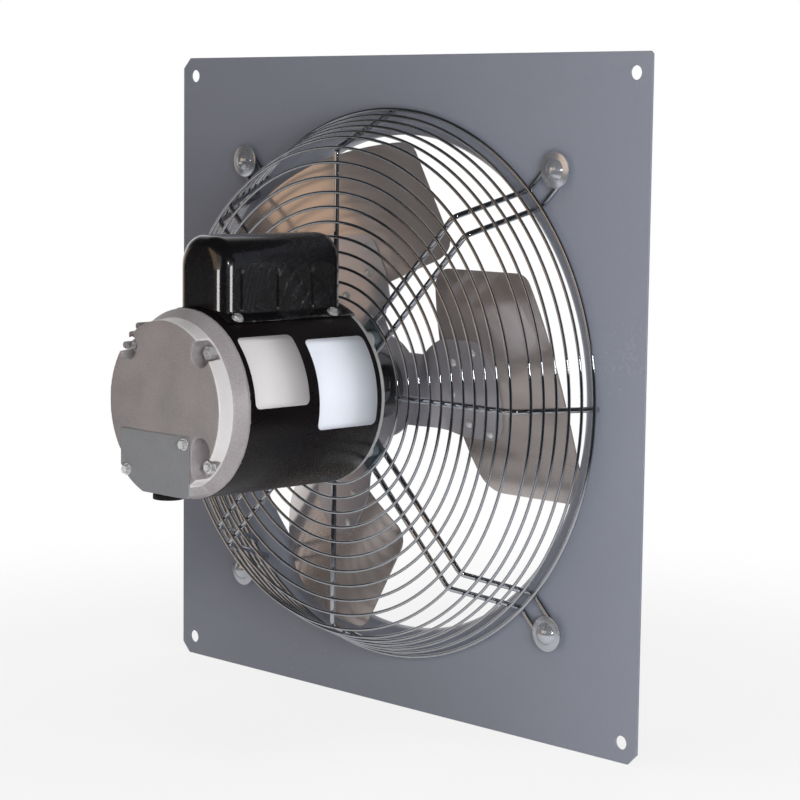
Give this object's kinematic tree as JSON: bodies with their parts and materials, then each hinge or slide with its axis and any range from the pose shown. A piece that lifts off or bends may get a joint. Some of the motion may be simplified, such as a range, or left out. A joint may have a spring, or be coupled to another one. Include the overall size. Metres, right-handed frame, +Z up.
{
  "type": "panel-mount exhaust fan",
  "caption": "Square panel-mount exhaust fan: a wire guard basket carries a capacitor motor in front of a drawn venturi, and a three-blade sheet-metal propeller turns in the throat.",
  "frame": {"origin": "on the fan's axis at the panel's back face, in the middle of the four wall bolt holes", "axes": "+X to the right seen from the motor side, +Y along the fan's axis into the wall, +Z up"},
  "size_m": [0.476, 0.2521, 0.476],
  "materials": {
    "panel_paint": "satin grey paint",
    "guard_chrome": "bright plated wire",
    "tab_steel": "bright passivated steel",
    "bolt_polish": "polished",
    "zinc_steel": "zinc plated",
    "motor_black": "semi-gloss black enamel",
    "cover_black": "gloss black enamel",
    "bell_cast": "sand-textured casting",
    "front_cast": "casting",
    "plate_steel": "galvanised sheet",
    "label_foil": "blank silver foil",
    "label_film": "blank white film",
    "core_steel": "laminated steel",
    "copper": "enamelled copper wire",
    "bearing_steel": "ground",
    "capacitor_can": "drawn can",
    "board": "phenolic board",
    "brass_tab": "plain",
    "plug_black": "matt",
    "shaft_steel": "ground",
    "hub_steel": "turned",
    "spider_steel": "bright rolled sheet",
    "blade_sheet": "mill-finish sheet"
  },
  "bodies": {
    "frame": {"mounting_panel": "panel_paint", "guard_front_rings": "guard_chrome", "guard_side_rings": "guard_chrome", "guard_base_ring": "guard_chrome", "guard_spokes": "guard_chrome", "guard_legs": "guard_chrome", "motor_tabs": "tab_steel", "foot_bolts": "bolt_polish", "foot_nuts": "zinc_steel", "motor_shell": "motor_black", "front_end_bell": "front_cast", "rear_end_bell": "bell_cast", "through_bolts": "zinc_steel", "stud_nuts": "zinc_steel", "rear_nuts": "zinc_steel", "stator_core": "core_steel", "stator_windings": "copper", "front_bearing": "bearing_steel", "rear_bearing": "bearing_steel", "capacitor_cover": "cover_black", "capacitor_cover_screws": "zinc_steel", "run_capacitor": "capacitor_can", "terminal_cover": "plate_steel", "terminal_cover_screws": "zinc_steel", "terminal_board": "board", "terminal_posts": "brass_tab", "conduit_plug": "plug_black", "rating_label": "label_foil", "side_label": "label_film"},
    "propeller": {"shaft": "shaft_steel", "rotor_core": "core_steel", "propeller_hub": "hub_steel", "hub_set_screws": "zinc_steel", "spider": "spider_steel", "blade_1": "blade_sheet", "blade_2": "blade_sheet", "blade_3": "blade_sheet", "blade_rivets": "zinc_steel"}
  },
  "joints": [
    {"name": "propeller_spin", "type": "hinge", "parent": "frame", "child": "propeller", "pos_m": [0, 0, 0], "axis": [0, -1, 0], "continuous": true}
  ]
}
